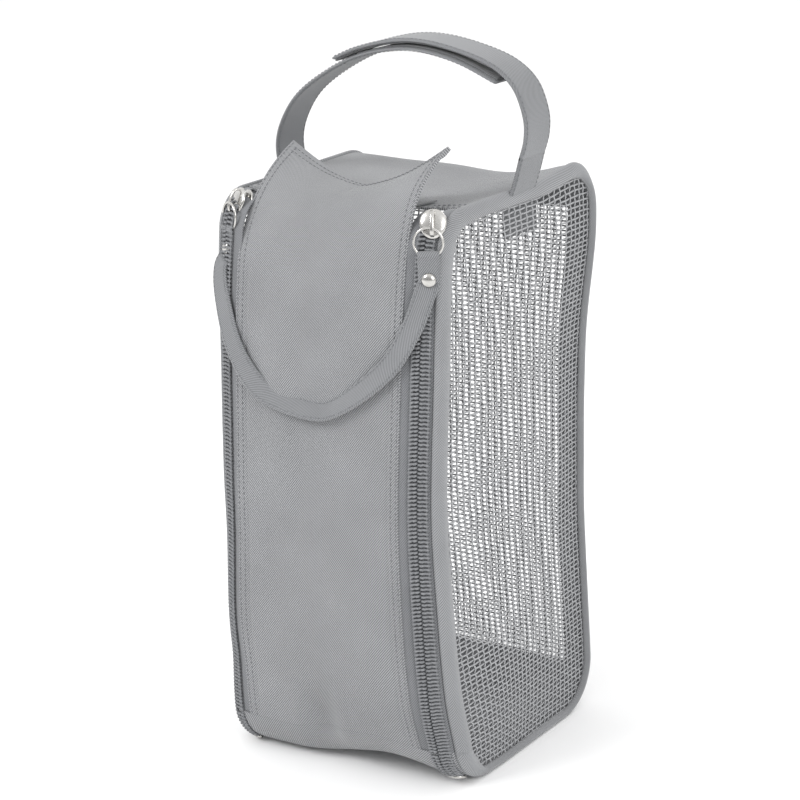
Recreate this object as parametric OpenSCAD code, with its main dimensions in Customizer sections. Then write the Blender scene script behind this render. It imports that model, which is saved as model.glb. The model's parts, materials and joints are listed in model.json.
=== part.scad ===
// Zipped shoe bag with a see-through net back and sides, a folding front panel and a carry handle.
// Millimetres. X runs across the front, -Y is the front, +Z is up.
// The origin is the middle of the underside.

/* [Body] */
// Width over both side bindings
body_w = 148; // [130:1:170]
// Depth from the front hinge line to the back
body_d = 147; // [130:1:160]
// Height of the body without the handle
body_h = 320; // [300:1:340]
// Backward lean of the front panel, in degrees
lean = 2.3; // [1:0.1:4]
// Thickness of the woven fabric
skin = 1.6; // [1.2:0.1:2]

/* [Corner radii] */
// Front corner at the bottom
r_front_low = 22; // [18:1:26]
// Front corner at the top
r_front_top = 10; // [8:1:14]
// Back corner at the bottom
r_back_low = 30; // [22:1:36]
// Back corner at the top
r_back_top = 25; // [18:1:32]

/* [Side binding] */
// Width of the binding along the front edge of a side
binding_w = 9; // [6:1:12]
// Width of the binding along the top edge of a side
binding_top_w = 8; // [6:1:12]
// Width of the binding along the back and bottom edges of a side
binding_back_w = 3.5; // [3:0.5:6]
// Thickness of the folded binding
binding_t = 2; // [1.6:0.1:2.4]
// Thickness of the net
net_t = 0.8; // [0.6:0.1:1]
// Width of the woven strip inside each upright edge of the back net
strip_w = 14; // [10:1:18]

/* [Zips] */
// Width of the fabric panel between the two zips
panel_w = 110; // [104:1:112]
// Distance between the middles of the two zips
zip_pitch = 131; // [131:0.5:132]
// Width of one row of teeth
row_w = 3.9; // [3.5:0.1:4]
// Open line between the two rows, where the slider post runs
row_gap = 1.2; // [1.2:0.1:1.5]
// Thickness of the zip tape
tape_t = 0.8; // [0.6:0.1:0.8]
// Height of the teeth above the fabric
tooth_up = 1.4; // [1.2:0.1:1.5]

/* [Slider and strap] */
// Height of a closed slider's middle above the front hinge line
slider_s = 290; // [288:1:292]
// Length of a slider
slider_l = 14; // [12:1:14]
// Width of a slider
slider_w = 12.5; // [11:0.5:13]
// Mean diameter of a pull ring
ring_d = 14.4; // [13:0.2:15]
// Wire diameter of a pull ring
wire_d = 1.6; // [1.4:0.1:1.7]
// Width of the pull strap
strap_w = 11; // [9:0.5:12]
// Drop of the pull strap's middle line below its rivets
strap_drop = 69; // [60:1:80]

/* [Tongue] */
// Distance of the tongue's free edge from the body's middle
tongue_end = 21; // [15:1:25]
// Distance of the top panel's front edge from the body's middle
top_edge = 48; // [44:1:49]

/* [Handle] */
// Width of the handle webbing
handle_w = 25; // [20:1:28]
// Thickness of the handle webbing
handle_t = 1.6; // [1.4:0.1:2]
// Half of the distance between the handle's sewn ends
handle_x = 69; // [66:1:70]
// Middle of the webbing behind the body's middle
handle_y = 12.5; // [5:0.5:15]
// Rise of the handle above its fold line
handle_rise = 60; // [50:1:70]

/* [Hidden] */

LEFT = -1;
RIGHT = 1;
EPS = 0.01;
clear = 0.3;
seam_gap = 0.6;

// Half width of the fabric between the two bindings
half_in = body_w / 2 - binding_t;
// The hinge line lies on the fabric's outer face, where the low front corner ends
hinge_y = -body_d / 2 - 0.5;
hinge_z = r_front_low + r_front_low * sin(lean);
back_y = body_d / 2 - 0.5;

// Middles of the four corner arcs, in the Y-Z plane
c_front_low = [hinge_y + r_front_low * cos(lean), r_front_low];
c_front_top = [
    hinge_y + (body_h - r_front_top - hinge_z) * tan(lean) + r_front_top / cos(lean),
    body_h - r_front_top
];
c_back_top = [back_y - r_back_top, body_h - r_back_top];
c_back_low = [back_y - r_back_low, r_back_low];
// Length of the straight front from the hinge line to the top corner
front_len = (c_front_top[1] + r_front_top * sin(lean) - hinge_z) / cos(lean);

// Depths inward from the fabric's outer face
tape_in = skin;
tooth_in = skin;
net_inset = skin + tape_t + 0.2;
strip_t = 0.8;
plate_t = 1.2;
plate_out = tooth_up + 0.5;
plate_in = tape_in + tape_t + 0.5;
row_in = row_gap / 2;
row_out = row_gap / 2 + row_w;
zip_x = zip_pitch / 2;
tape_lap = 2;
// Angles round the low corner where the parts of the zips end
lower_start = 184.5;
teeth_end = 225;
tape_end = 234;
lower_end = 236;

// Depths and heights of the pull ring, outward from the fabric
ring_y = -(plate_out + plate_t + 2.3);
bridge_gap = 3.5;
bridge_t = 1.2;
bridge_w = 2.4;
bridge_l = 11;
leg_t = 1.5;
pivot_s = slider_s - bridge_l / 2 + leg_t + wire_d / 2 + 0.2;
ring_s = pivot_s - ring_d / 2;
loop_top = ring_s - 2.8;
loop_low = ring_s - 10;
rivet_s = ring_s - 21;
strap_t = 2;
bend_s = rivet_s - 8;

// Handle layers, outward from the inner face of the lower strap
hinge_handle_z = body_h + 10;
patch_t = 0.8;
loop_layer = handle_t;
hook_layer = handle_t + patch_t + clear;
upper_layer = hook_layer + patch_t;
handle_steps = 100;

cloth = [0.62, 0.625, 0.635];
cloth_dark = [0.50, 0.505, 0.515];
net_grey = [0.56, 0.565, 0.575];
nickel = [0.86, 0.85, 0.83];

function arc_pts(c, r, a0, a1, n = 12) =
    [for (i = [0:n]) let (a = a0 + (a1 - a0) * i / n) [c[0] + r * cos(a), c[1] + r * sin(a)]];
function reversed(p) = [for (i = [len(p) - 1:-1:0]) p[i]];
// A point on the front, s above the hinge line and i inside the outer face
function front_pt(s, i) =
    [hinge_y + s * sin(lean) + i * cos(lean), hinge_z + s * cos(lean) - i * sin(lean)];

// The closed side outline, i inside the outer face
function outline(i) = concat(
    arc_pts(c_back_low, r_back_low - i, 270, 360),
    arc_pts(c_back_top, r_back_top - i, 0, 90),
    arc_pts(c_front_top, r_front_top - i, 90, 180 - lean),
    arc_pts(c_front_low, r_front_low - i, 180 - lean, 270)
);
// Stretches of that outline
function low_corner(i, a0, a1) = arc_pts(c_front_low, r_front_low - i, a0, a1);
function bottom_path(i) = concat(low_corner(i, lower_end, 270), arc_pts(c_back_low, r_back_low - i, 270, 360));
function without_first(points) = [for (k = [1:1:len(points) - 1]) points[k]];
// The outer half of a zip, down the straight front and round the low corner to angle a1
function zip_path(i, a1) = concat(
    [front_pt(front_len, i)],
    low_corner(i, 180 - lean, teeth_end),
    a1 > teeth_end ? without_first(low_corner(i, teeth_end, a1)) : []
);
function back_path(i) = [[back_y - i, c_back_low[1]], [back_y - i, c_back_top[1]]];
function top_path(i) = concat(arc_pts(c_back_top, r_back_top - i, 0, 90), [[-top_edge, body_h - i]]);
function front_path(i, s0, a1) =
    concat([front_pt(s0, i)], arc_pts(c_front_top, r_front_top - i, 180 - lean, a1));
// A band between two depths along the same stretch
function band(outer, inner) = concat(outer, reversed(inner));

// The direction of a curve at point k, from its neighbours
function unit(v) = v / norm(v);
function along(p, k) = unit(p[min(k + 1, len(p) - 1)] - p[max(k - 1, 0)]);
function shifted(p, d) = shifted_by(p, [for (q = p) d]);
function shifted_by(p, d) =
    [for (k = [0:len(p) - 1]) let (t = along(p, k)) [p[k][0] - t[1] * d[k], p[k][1] + t[0] * d[k]]];

// Extrudes a Y-Z shape from x0 to x1
module across(x0, x1) {
    translate([min(x0, x1), 0, 0])
        rotate([90, 0, 90])
            linear_extrude(abs(x1 - x0))
                children();
}
// Extrudes an X-Z shape from y0 to y1
module deep(y0, y1) {
    translate([0, y1, 0])
        rotate([90, 0, 0])
            linear_extrude(y1 - y0)
                children();
}
// The frame of the leaning front: X across, Y inward, Z up from the hinge line
module front_frame() {
    translate([0, hinge_y, hinge_z])
        rotate([-lean, 0, 0])
            children();
}
module block(x0, x1, y0, y1, z0, z1) {
    translate([min(x0, x1), y0, z0])
        cube([abs(x1 - x0), y1 - y0, z1 - z0]);
}

// ---- Fixed fabric ----
module bottom_panel() {
    corner_half = zip_x + row_in - 0.1;
    color(cloth) {
        across(-half_in, half_in)
            polygon(band(bottom_path(0), bottom_path(skin)));
        across(-corner_half, corner_half)
            polygon(band(low_corner(0, 180, lower_end), low_corner(skin, 180, lower_end)));
    }
}
module back_net_panel() {
    color(net_grey)
        across(-half_in, half_in)
            polygon(band(back_path(0), back_path(net_t)));
}
module back_strip(side) {
    color(cloth)
        across(side * (half_in - strip_w), side * half_in)
            polygon(band(back_path(net_t), back_path(net_t + strip_t)));
}
module top_panel() {
    color(cloth)
        across(-half_in, half_in)
            polygon(band(top_path(0), top_path(skin)));
}
module net_panel(side) {
    color(net_grey)
        across(side * (half_in - net_t), side * half_in)
            polygon(outline(net_inset));
}
module binding(side) {
    color(cloth_dark)
        across(side * half_in, side * body_w / 2)
            difference() {
                polygon(outline(0));
                intersection() {
                    polygon(outline(binding_back_w));
                    translate([binding_w - binding_back_w, binding_back_w - binding_top_w])
                        polygon(outline(binding_back_w));
                }
            }
}

// ---- Zips ----
module outer_tape(side) {
    inner_x = side * (zip_x + row_in + 0.3);
    color(cloth_dark)
        across(inner_x, side * (half_in - net_t))
            polygon(band(zip_path(tape_in, tape_end), zip_path(tape_in + tape_t, tape_end)));
}
module outer_teeth(side) {
    color(cloth_dark)
        across(side * (zip_x + row_in), side * (zip_x + row_out))
            polygon(band(zip_path(-tooth_up, teeth_end), zip_path(tooth_in, teeth_end)));
}
module lower_zip(side) {
    color(cloth_dark)
        across(side * (zip_x - row_out), side * (zip_x - row_in))
            polygon(band(
                low_corner(-tooth_up, lower_start, teeth_end),
                low_corner(0, lower_start, teeth_end)
            ));
}
module bottom_stop(side) {
    color(nickel)
        across(side * (zip_x - row_w), side * (zip_x + row_w))
            polygon(band(
                low_corner(-tooth_up - 0.3, teeth_end + 0.5, teeth_end + 5),
                low_corner(0, teeth_end + 0.5, teeth_end + 5)
            ));
}
module outer_top_stops() {
    color(nickel)
        for (side = [LEFT, RIGHT])
            front_frame()
                block(side * (zip_x + row_in + 0.4), side * (zip_x + row_out - 0.3),
                    -tooth_up + 0.2, skin, front_len, front_len + 2.2);
}
module inner_tape(side) {
    color(cloth_dark)
        front_frame()
            block(side * (panel_w / 2 - tape_lap), side * (zip_x - row_in - 0.3),
                tape_in, tape_in + tape_t, seam_gap, front_len);
}
module inner_teeth(side) {
    color(cloth_dark)
        front_frame()
            block(side * (zip_x - row_out), side * (zip_x - row_in),
                -tooth_up, tooth_in, seam_gap, front_len);
}
module inner_top_stops() {
    color(nickel)
        for (side = [LEFT, RIGHT])
            front_frame()
                block(side * (zip_x - row_in - 0.4), side * (zip_x - row_out + 0.3),
                    -tooth_up + 0.2, skin, front_len, front_len + 2.2);
}

// ---- Folding front and its tongue ----
module front_panel() {
    color(cloth)
        across(-panel_w / 2, panel_w / 2)
            polygon(band(front_path(0, seam_gap, 96), front_path(skin, seam_gap, 96)));
}
tongue_low = body_h + patch_t * 2 + clear;
module tongue() {
    color(cloth)
        block(-panel_w / 2, panel_w / 2, c_front_top[0] + 1, -tongue_end, tongue_low, tongue_low + skin);
}
module tongue_hook_patch() {
    color(cloth_dark)
        block(-panel_w / 2 + 8, panel_w / 2 - 8, -top_edge + 3, -tongue_end - 4,
            tongue_low - patch_t, tongue_low);
}
module top_loop_patch() {
    color(cloth_dark)
        block(-panel_w / 2 + 8, panel_w / 2 - 8, -top_edge + 3, -tongue_end - 4, body_h, body_h + patch_t);
}

// ---- Sliders, rings and pull strap ----
module slider(side) {
    color(nickel)
        front_frame()
            translate([side * zip_x, 0, slider_s]) {
                translate([0, -plate_out, 0])
                    rotate([90, 0, 0])
                        linear_extrude(plate_t)
                            intersection() {
                                circle(d = slider_l, $fn = 64);
                                square([slider_w, slider_l + 1], center = true);
                            }
                translate([0, plate_in + plate_t, 0])
                    rotate([90, 0, 0])
                        linear_extrude(plate_t)
                            translate([-slider_w / 2 + 1, -slider_l / 2])
                                square([slider_w - 2, front_len - slider_s + slider_l / 2 - 0.3]);
                block(-0.3, 0.3, -plate_out - 0.2, plate_in + 0.2,
                    -slider_l / 2 + 1.5, -slider_l / 2 + 5.5);
            }
}
module slider_bridge(side) {
    foot_y = -plate_out - plate_t;
    color(nickel)
        front_frame()
            translate([side * zip_x, 0, slider_s])
                for (end = [-1, 0, 1])
                    if (end == 0)
                        block(-bridge_w / 2, bridge_w / 2,
                            foot_y - bridge_gap - bridge_t, foot_y - bridge_gap, -bridge_l / 2, bridge_l / 2);
                    else
                        translate([0, 0, end * (bridge_l - leg_t) / 2])
                            block(-bridge_w / 2, bridge_w / 2, foot_y - bridge_gap - EPS, foot_y,
                                -leg_t / 2, leg_t / 2);
}
module ring(side) {
    color(nickel)
        front_frame()
            translate([side * zip_x, ring_y, ring_s])
                rotate([90, 0, 0])
                    rotate_extrude($fn = 64)
                        translate([ring_d / 2, 0])
                            circle(d = wire_d, $fn = 24);
}
strap_mid = [
    for (k = [0:32])
        let (a = 180 + 180 * k / 32)
            [zip_x * cos(a), bend_s + (strap_drop - 8) * sin(a)]
];
module pull_strap() {
    loop_y = 2.4;
    loop_hole = 1.1;
    loop_half = strap_w / 2 - 1;
    color(cloth)
        front_frame() {
            deep(ring_y - strap_t / 2, ring_y + strap_t / 2)
                polygon(band(shifted(strap_mid, strap_w / 2), shifted(strap_mid, -strap_w / 2)));
            for (side = [LEFT, RIGHT])
                translate([side * zip_x, ring_y, 0]) {
                    block(-strap_w / 2, strap_w / 2, -strap_t / 2, strap_t / 2,
                        bend_s - EPS, loop_low + EPS);
                    difference() {
                        block(-loop_half, loop_half, -loop_y, loop_y, loop_low, loop_top);
                        block(-strap_w, strap_w, -loop_hole, loop_hole, loop_low + 1.4, loop_top - 1.2);
                    }
                }
        }
}
module rivet(side) {
    head_r = 3.25;
    color(nickel)
        front_frame()
            for (face = [-1, 1])
                translate([side * zip_x, ring_y + face * strap_t / 2, rivet_s])
                    rotate([-90 * face, 0, 0])
                        cylinder(h = 1.2, r1 = head_r, r2 = head_r * 0.6, $fn = 48);
}

// ---- Handle ----
function handle_mid(a) = [
    -handle_x * cos(a) * (1 + 0.25 * sin(a)),
    hinge_handle_z + handle_rise * pow(max(sin(a), 0), 0.8)
];
a_root = 2.9;
// The line of the lower strap's inner face, and the steps along it where the layers end
handle_line = [for (k = [0:handle_steps]) handle_mid(a_root + (180 - 2 * a_root) * k / handle_steps)];
lower_last = 75;
upper_first = 26;
strip_first = 28;
strip_last = 73;
function layer_pt(k, d) = let (t = along(handle_line, k)) handle_line[k] + d * [-t[1], t[0]];
// The upper strap lies on the lower one and comes down to its own sewn end beyond it
function eased(t) = let (c = max(0, min(1, t))) c * c * (3 - 2 * c);
function upper_lift(k) = upper_layer * eased((97 - k) / (97 - lower_last - 1));
module webbing(k0, k1, from, to) {
    deep(handle_y - handle_w / 2, handle_y + handle_w / 2)
        polygon(band(
            [for (k = [k0:k1]) layer_pt(k, from)],
            [for (k = [k0:k1]) layer_pt(k, to)]
        ));
}
module handle_left_strap() {
    color(cloth)
        webbing(0, lower_last, 0, handle_t);
}
module handle_loop_strip() {
    color(cloth_dark)
        webbing(strip_first, strip_last, loop_layer, loop_layer + patch_t);
}
module handle_hook_strip() {
    color(cloth_dark)
        webbing(strip_first, strip_last, hook_layer, hook_layer + patch_t);
}
module handle_right_strap() {
    color(cloth)
        deep(handle_y - handle_w / 2, handle_y + handle_w / 2)
            polygon(band(
                [for (k = [upper_first:handle_steps]) layer_pt(k, upper_lift(k))],
                [for (k = [upper_first:handle_steps]) layer_pt(k, upper_lift(k) + handle_t)]
            ));
}
module handle_anchor(side) {
    fold_r = 5;
    color(cloth) {
        block(side * (handle_x - 1.5), side * (handle_x + 2.5), handle_y - handle_w / 2,
            handle_y + handle_w / 2, body_h, body_h + 1);
        block(side * (handle_x - 1.5), side * (handle_x + 2.5), handle_y - fold_r + 0.5,
            handle_y + fold_r - 0.5, body_h + 1 - EPS, hinge_handle_z - 2);
        translate([side * (handle_x + 0.5) - 2, handle_y, hinge_handle_z])
            rotate([0, 90, 0])
                cylinder(h = 4, r = fold_r, $fn = 48);
    }
}
module inner_tab(side) {
    tab_l = 24;
    color(cloth)
        block(side * (half_in - net_t - 1.6), side * (half_in - net_t), handle_y - handle_w / 2,
            handle_y + handle_w / 2, body_h - skin - tab_l, body_h - skin);
}

bottom_panel();
back_net_panel();
back_strip(LEFT);  // left_back_strip
back_strip(RIGHT);  // right_back_strip
top_panel();
net_panel(LEFT);  // left_net_panel
net_panel(RIGHT);  // right_net_panel
binding(LEFT);  // left_binding
binding(RIGHT);  // right_binding
outer_tape(LEFT);  // left_outer_tape
outer_tape(RIGHT);  // right_outer_tape
outer_teeth(LEFT);  // left_outer_teeth
outer_teeth(RIGHT);  // right_outer_teeth
lower_zip(LEFT);  // left_lower_zip
lower_zip(RIGHT);  // right_lower_zip
bottom_stop(LEFT);  // left_bottom_stop
bottom_stop(RIGHT);  // right_bottom_stop
outer_top_stops();
top_loop_patch();
handle_anchor(LEFT);  // left_handle_anchor
handle_anchor(RIGHT);  // right_handle_anchor
inner_tab(LEFT);  // left_inner_tab
inner_tab(RIGHT);  // right_inner_tab
front_panel();
inner_tape(LEFT);  // left_inner_tape
inner_tape(RIGHT);  // right_inner_tape
inner_teeth(LEFT);  // left_inner_teeth
inner_teeth(RIGHT);  // right_inner_teeth
inner_top_stops();
tongue();
tongue_hook_patch();
slider(LEFT);  // left_slider
slider(RIGHT);  // right_slider
slider_bridge(LEFT);  // left_slider_bridge
slider_bridge(RIGHT);  // right_slider_bridge
ring(LEFT);  // left_ring
ring(RIGHT);  // right_ring
pull_strap();
rivet(LEFT);  // left_rivet
rivet(RIGHT);  // right_rivet
handle_left_strap();
handle_loop_strip();
handle_right_strap();
handle_hook_strip();
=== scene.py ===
"""The looks of the shoe bag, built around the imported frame.

Lengths in this script are millimetres until a mesh is made, which turns them into metres.
X runs across the front, -Y is the front and +Z is up, as in the CAD model.
"""

import json
import math

import bpy
import numpy as np
from mathutils import Matrix, Vector


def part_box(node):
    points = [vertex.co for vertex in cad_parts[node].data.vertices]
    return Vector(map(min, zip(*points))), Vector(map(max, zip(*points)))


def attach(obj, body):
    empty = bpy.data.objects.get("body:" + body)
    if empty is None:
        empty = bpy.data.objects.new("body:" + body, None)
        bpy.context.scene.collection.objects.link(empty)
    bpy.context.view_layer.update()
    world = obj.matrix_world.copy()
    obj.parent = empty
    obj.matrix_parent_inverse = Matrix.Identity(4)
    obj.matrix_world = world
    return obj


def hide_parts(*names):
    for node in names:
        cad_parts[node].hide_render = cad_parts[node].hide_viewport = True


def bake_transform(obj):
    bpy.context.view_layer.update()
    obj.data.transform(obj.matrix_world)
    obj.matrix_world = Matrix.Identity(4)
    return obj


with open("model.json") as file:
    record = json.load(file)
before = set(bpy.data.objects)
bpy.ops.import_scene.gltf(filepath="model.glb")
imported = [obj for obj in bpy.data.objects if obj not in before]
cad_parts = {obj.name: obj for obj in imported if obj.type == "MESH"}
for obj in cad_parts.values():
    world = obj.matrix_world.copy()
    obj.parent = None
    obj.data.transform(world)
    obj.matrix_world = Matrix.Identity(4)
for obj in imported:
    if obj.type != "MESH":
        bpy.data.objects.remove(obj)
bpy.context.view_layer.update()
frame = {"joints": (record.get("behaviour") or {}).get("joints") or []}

MM = 0.001
JOINTS = {joint["name"]: joint for joint in frame["joints"]}
LEFT, RIGHT = -1, 1
SIDES = {"left": LEFT, "right": RIGHT}


def node_box(node):
    """The lowest and highest corner of a CAD node, in millimetres."""
    low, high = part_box(node)
    return np.array(low) / MM, np.array(high) / MM


# ---- driving dimensions

HALF_W = node_box("right_binding")[1][0]
BODY_H = node_box("right_binding")[1][2]
BACK_Y = node_box("back_net_panel")[1][1]
HALF_IN = node_box("top_panel")[1][0]
PANEL_HALF = node_box("front_panel")[1][0]
HINGE_Y, HINGE_Z = np.array(JOINTS["front_panel_open"]["pos_m"][1:]) / MM
SLIDE_AXIS = JOINTS["left_slider_slide"]["axis"]
LEAN = math.atan2(-SLIDE_AXIS[1], -SLIDE_AXIS[2])
STRAP_PIVOT = np.array(JOINTS["pull_strap_swing"]["pos_m"]) / MM

R_FRONT_LOW = 22.0
R_FRONT_TOP = 19.0
R_BACK_LOW = 30.0
R_BACK_TOP = 25.0
SKIN = 1.3

ZIP_X = 65.0
TOOTH_PITCH = 2.2
ROW_W = 4.2
ROW_GAP = 0.45
TAPE_T = 0.7
BINDING_FRONT_W = 9.5
BINDING_TOP_W = 8.0
BINDING_BACK_W = 3.6
BINDING_T = 2.2
STRIP_W = 14.0
BASE_BELOW = 9.0
NET_PITCH_Y = 4.5
NET_PITCH_Z = 2.75
YAW = math.radians(27)


# ---- small helpers

def smooth(t):
    """0 below 0, 1 above 1 and an S curve between."""
    t = np.clip(t, 0.0, 1.0)
    return t * t * (3 - 2 * t)


def bump(v, middle, half_width):
    """1 at the middle, falling smoothly to 0 at half_width either way."""
    return smooth(1 - np.abs(np.asarray(v, float) - middle) / half_width)


def unit_rows(v):
    return v / np.maximum(np.linalg.norm(v, axis=-1, keepdims=True), 1e-9)


def catmull(points, count):
    """A smooth curve through given points, as count evenly spaced points."""
    p = np.array(points, float)
    p = np.vstack([2 * p[0] - p[1], p, 2 * p[-1] - p[-2]])
    fine = []
    for k in range(1, len(p) - 2):
        t = np.linspace(0, 1, 24, endpoint=False)[:, None]
        a, b, c, d = p[k - 1], p[k], p[k + 1], p[k + 2]
        fine.append(0.5 * (2 * b + (c - a) * t + (2 * a - 5 * b + 4 * c - d) * t**2
                           + (3 * b - a - 3 * c + d) * t**3))
    fine = np.vstack(fine + [p[-2][None]])
    return respaced(fine, count)


def run_along(points):
    """The length walked to each point of a line."""
    return np.concatenate([[0], np.cumsum(np.linalg.norm(np.diff(points, axis=0), axis=1))])


def respaced(points, count):
    """The same line as count points at even distances."""
    run = run_along(points)
    want = np.linspace(0, run[-1], count)
    return np.stack([np.interp(want, run, points[:, k]) for k in range(points.shape[1])], 1)


# ---- the side profile

class Profile:
    """The outline of the body in the Y-Z plane, by its length s from the front hinge line.

    It runs up the front, back along the top, down the back and forward under the body.
    """

    def __init__(self):
        lean, r1, r2, r3, r4 = LEAN, R_FRONT_TOP, R_BACK_TOP, R_BACK_LOW, R_FRONT_LOW
        c1 = (HINGE_Y + (BODY_H - r1 - HINGE_Z) * math.tan(lean) + r1 / math.cos(lean), BODY_H - r1)
        c2 = (BACK_Y - r2, BODY_H - r2)
        c3 = (BACK_Y - r3, r3)
        c4 = (HINGE_Y + r4 * math.cos(lean), r4)
        pi, half = math.pi, math.pi / 2
        corners = [("front_top", c1, r1, pi - lean, half), ("back_top", c2, r2, half, 0),
                   ("back_low", c3, r3, 0, -half), ("front_low", c4, r4, -half, -pi - lean)]
        points, normals, marks = [(HINGE_Y, HINGE_Z)], [(-math.cos(lean), math.sin(lean))], []
        for name, c, r, a0, a1 in corners:
            for k in range(41):
                a = a0 + (a1 - a0) * k / 40
                points.append((c[0] + r * math.cos(a), c[1] + r * math.sin(a)))
                normals.append((math.cos(a), math.sin(a)))
                if k in (0, 40):
                    marks.append((name, k, len(points) - 1))
        self.points, self.normals = np.array(points), np.array(normals)
        self.run = run_along(self.points)
        self.length = self.run[-1]
        self.start = {}
        after = {"front_top": "top", "back_top": "back", "back_low": "bottom", "front_low": "end"}
        for name, k, index in marks:
            self.start[name if k == 0 else after[name]] = self.run[index]

    def at(self, s, out=0.0):
        """Points (y, z) at lengths s, moved out along the outward normal."""
        s = np.mod(np.asarray(s, float), self.length)
        y = np.interp(s, self.run, self.points[:, 0])
        z = np.interp(s, self.run, self.points[:, 1])
        n = unit_rows(np.stack([np.interp(s, self.run, self.normals[:, k]) for k in (0, 1)], -1))
        return y + n[..., 0] * out, z + n[..., 1] * out


profile = Profile()
S = profile.start
# The back net reaches a little way round the low corner, to the edge of the base cloth
BACK_END = S["back_low"] + BASE_BELOW


def front_point(s, out=0.0):
    """A point on the straight front, s above the hinge line and out in front of it."""
    return (HINGE_Y + s * math.sin(LEAN) - out * math.cos(LEAN),
            HINGE_Z + s * math.cos(LEAN) + out * math.sin(LEAN))


# How far the soft front stands behind (+) or before (-) its straight line, by height:
# at the panel's edges, at the zips and at the side seams
FRONT_Z = [0, 20, 43, 76, 110, 155, 205, 232, 260, 290, 312, 322]
FRONT_PANEL = [-3, -6, -10.8, -16, -17, -16.8, -14.3, -12.9, -11, -7, -3, -2]
FRONT_ZIP = [-2, -3.5, -7, -10, -11, -11.5, -9.5, -8.6, -7.5, -4, -1, 0]
FRONT_SEAM = [5, 5, 2, -3, -4.5, -6.5, -4.8, -3.5, -3, -1, 2, 3]
# The same for the back edges of the two sides
BACK_Z = [0, 40, 94, 127, 150, 177, 205, 228, 251, 273, 290, 322]
BACK_EDGE = [-1, -2, -4, -5, -3.5, -2.5, 0, 2.5, 6, 10, 12, 12]


def eased_table(z, heights, values):
    """Values between the listed heights, with rounded corners."""
    return sum(np.interp(z + d, heights, values) for d in (-14, -7, 0, 7, 14)) / 5


def front_shift(x, z):
    panel = eased_table(z, FRONT_Z, FRONT_PANEL)
    at_zip = eased_table(z, FRONT_Z, FRONT_ZIP)
    seam = eased_table(z, FRONT_Z, FRONT_SEAM)
    a = np.abs(x)
    inner = panel - 1.0 * (1 - np.minimum(a / 55, 1) ** 2)
    slope = panel + (at_zip - panel) * np.clip((a - 55) / 10.5, 0, 1)
    edge = at_zip + (seam - at_zip) * np.clip((a - 65.5) / 6.5, 0, 1.3)
    return np.where(a < 55, inner, np.where(a < 65.5, slope, edge))


def soften(p):
    """Bends the whole bag from its straight construction into its soft standing shape."""
    p = np.array(p, float)
    x, y, z = p[..., 0].copy(), p[..., 1].copy(), p[..., 2].copy()
    front = smooth((15 - y) / 70)
    back = smooth((y + 20) / 80)
    p[..., 1] += front * front_shift(x, z) + back * eased_table(z, BACK_Z, BACK_EDGE)
    # The sides spread a little at the top of the back and at the bottom of the left front
    p[..., 0] += 3.0 * back * smooth((z - 220) / 70) * x / HALF_W
    p[..., 0] -= 4.0 * front * smooth(-x / HALF_W) * bump(z, 70, 80)
    p[..., 0] -= 2.5 * front * smooth(x / HALF_W) * bump(z, 165, 110)
    p[..., 1] += front * (1 - smooth(z / 60)) * (6.0 * smooth(x / HALF_W) - 4.0 * smooth(-x / HALF_W))
    p[..., 0] -= 4.0 * front * smooth(-x / HALF_W) * bump(z, 22, 45)
    # The bottom of the front lifts off the floor right of its middle, and the top's rear right
    # corner stands up
    p[..., 2] += 9.0 * bump(x, 25, 60) * smooth((-30 - y) / 30) * (1 - smooth(z / 60))
    p[..., 2] += 4.0 * smooth((x - 50) / 24) * bump(y, 57, 35) * smooth((z - 280) / 40)
    # The top sinks between its two side seams, and the underside lies flat
    sink = smooth((z - 285) / 35) * (1 - smooth((np.abs(x) - 20) / 54))
    p[..., 2] -= 5.0 * sink * smooth((y + 60) / 40) * (1 - smooth((y - 35) / 40))
    p[..., 2] = np.maximum(p[..., 2], 0.1)
    return p


def front_surface(x, z):
    """The y of the soft front at (x, z)."""
    straight = HINGE_Y + (z - HINGE_Z) * math.tan(LEAN)
    return straight + front_shift(np.asarray(x, float), np.asarray(z, float))


# ---- mesh making

def make_mesh(name, verts, faces, uv=None, body=None, nodes=(), slot=None, material=None):
    """One piece from vertices and UVs in millimetres, in its slot's material unless another is given."""
    mesh = bpy.data.meshes.new(name)
    mesh.from_pydata((np.asarray(verts, float) * MM).tolist(), [], [list(map(int, f)) for f in faces])
    if uv is not None:
        layer = mesh.uv_layers.new(name="Cloth")
        index = np.zeros(len(mesh.loops), int)
        mesh.loops.foreach_get("vertex_index", index)
        layer.data.foreach_set("uv", np.asarray(uv, float)[index].ravel())
    mesh.update()
    mesh.shade_smooth()
    piece = bpy.data.objects.new(name, mesh)
    bpy.context.scene.collection.objects.link(piece)
    mesh.materials.append(material or SLOT_MATERIALS[slot])
    if body is not None:
        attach(piece, body)
    if nodes:
        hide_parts(*nodes)
    return piece


def grid_faces(nu, nv, offset=0, flip=False):
    faces = []
    for i in range(nu - 1):
        for j in range(nv - 1):
            a, b = i * nv + j, (i + 1) * nv + j
            quad = (offset + a, offset + b, offset + b + 1, offset + a + 1)
            faces.append(quad[::-1] if flip else quad)
    return faces


def grid_normals(p):
    du = np.gradient(p, axis=0)
    dv = np.gradient(p, axis=1)
    return unit_rows(np.cross(du, dv))


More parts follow.
